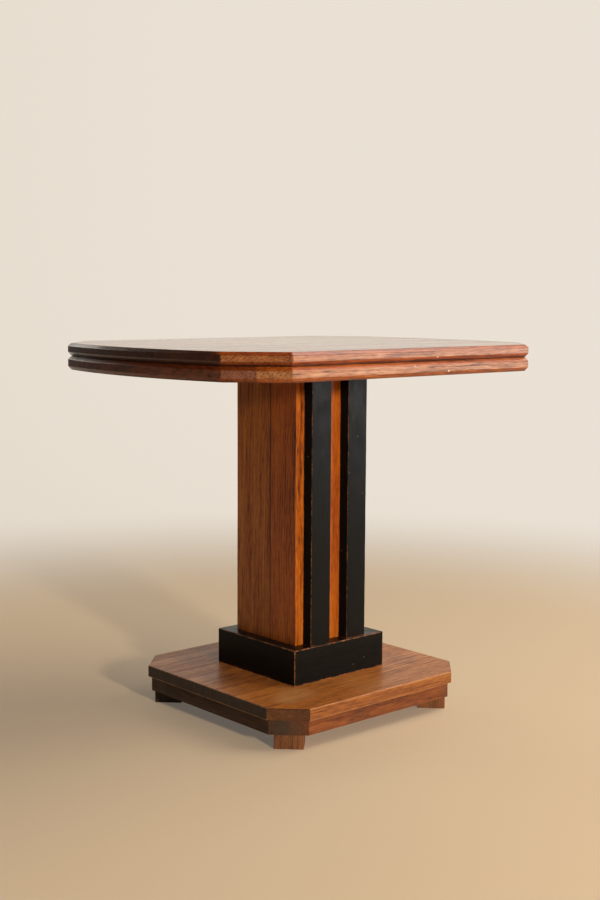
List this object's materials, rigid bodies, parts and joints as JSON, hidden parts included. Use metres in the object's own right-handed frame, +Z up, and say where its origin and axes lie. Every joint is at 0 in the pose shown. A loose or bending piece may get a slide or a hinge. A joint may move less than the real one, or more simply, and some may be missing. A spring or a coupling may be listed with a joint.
{
  "type": "tilt top table",
  "caption": "Pedestal table with a clipped-corner rectangular top that tips up on two pins, a square column with dark slats and plinth, and an octagonal base on block feet.",
  "frame": {"origin": "on the floor, under the middle of the table (bottom centre of the bounding box)", "axes": "+Z up; +X along the straight long sides of the top; the top tips so that its surface faces -Y, the front"},
  "size_m": [0.75, 0.574, 0.65],
  "materials": {
    "oak_top": "stained oak, waxed satin",
    "oak_frame": "stained oak, waxed satin",
    "oak_base": "stained oak, worn satin",
    "oak_column": "stained oak, satin",
    "ebonised_oak": "black lacquer, satin, worn arrises",
    "bare_beech": "unfinished inner wood",
    "steel": "dull steel",
    "brass": "aged brass"
  },
  "bodies": {
    "stand": {"base_plank_1": "oak_base", "base_plank_2": "oak_base", "base_plank_3": "oak_base", "base_rail_back": "oak_base", "base_rail_left": "oak_base", "base_rail_front": "oak_base", "base_rail_right": "oak_base", "foot_back_right": "oak_base", "foot_back_left": "oak_base", "foot_front_left": "oak_base", "foot_front_right": "oak_base", "column_left_front": "oak_column", "column_left_back": "oak_column", "column_right_front": "oak_column", "column_right_back": "oak_column", "column_front": "oak_column", "column_back": "oak_column", "slat_front_left": "ebonised_oak", "slat_front_right": "ebonised_oak", "slat_back_left": "ebonised_oak", "slat_back_right": "ebonised_oak", "plinth_front": "ebonised_oak", "plinth_back": "ebonised_oak", "plinth_left": "ebonised_oak", "plinth_right": "ebonised_oak", "column_foot_block": "bare_beech", "column_head_block": "bare_beech", "pivot_block": "bare_beech", "base_rail_screws": "steel", "foot_screws": "steel", "column_screws": "steel", "plinth_nails": "steel", "block_screws": "steel", "pivot_pin_left": "steel", "pivot_pin_right": "steel", "catch_keeper": "brass", "keeper_screws": "brass"},
    "top": {"top_plank_1": "oak_top", "top_plank_2": "oak_top", "top_plank_3": "oak_top", "top_plank_4": "oak_top", "frame_rail_back": "oak_frame", "frame_rail_left": "oak_frame", "frame_rail_front": "oak_frame", "frame_rail_right": "oak_frame", "frame_screws": "steel", "bearer_left": "bare_beech", "bearer_right": "bare_beech", "bearer_screws": "steel", "catch_plate": "brass", "catch_screws": "brass"},
    "bolt": {"catch_bolt": "brass", "catch_knob": "brass"}
  },
  "joints": [
    {"name": "top_tilt", "type": "hinge", "parent": "stand", "child": "top", "pos_m": [0, -0.11175, 0.61], "axis": [1, 0, 0], "range_deg": [0, 90]},
    {"name": "catch_slide", "type": "slide", "parent": "top", "child": "bolt", "axis": [0, -1, 0], "range_m": [0, 0.011]}
  ]
}
